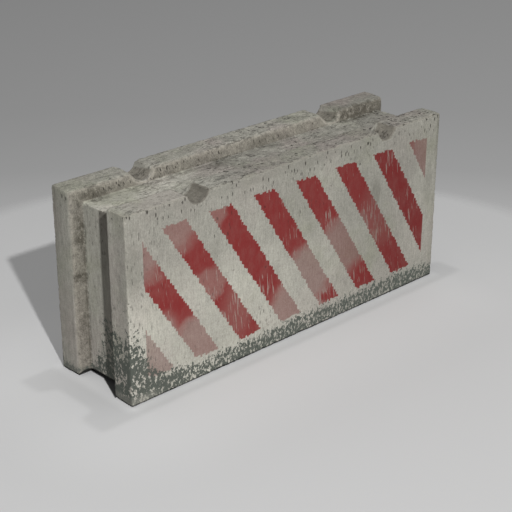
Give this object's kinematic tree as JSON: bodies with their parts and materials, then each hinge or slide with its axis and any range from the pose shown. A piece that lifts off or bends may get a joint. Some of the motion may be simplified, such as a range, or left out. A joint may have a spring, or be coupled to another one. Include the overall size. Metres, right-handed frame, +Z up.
{
  "type": "concrete road barrier",
  "caption": "Weathered cast-concrete road barrier slab with a tapered groove along its top and ends, half-round sling channels and worn red diagonal stripes on one face.",
  "frame": {"origin": "centre of the footprint, on the plane the two rails stand on", "axes": "+X along the barrier, +Y to the rear, the striped broad face looks to -Y, +Z up"},
  "size_m": [2, 0.51, 0.89],
  "materials": {
    "concrete": "weathered cast concrete with worn red paint on the front face"
  },
  "bodies": {
    "root": {"concrete_barrier": "concrete"}
  },
  "joints": []
}
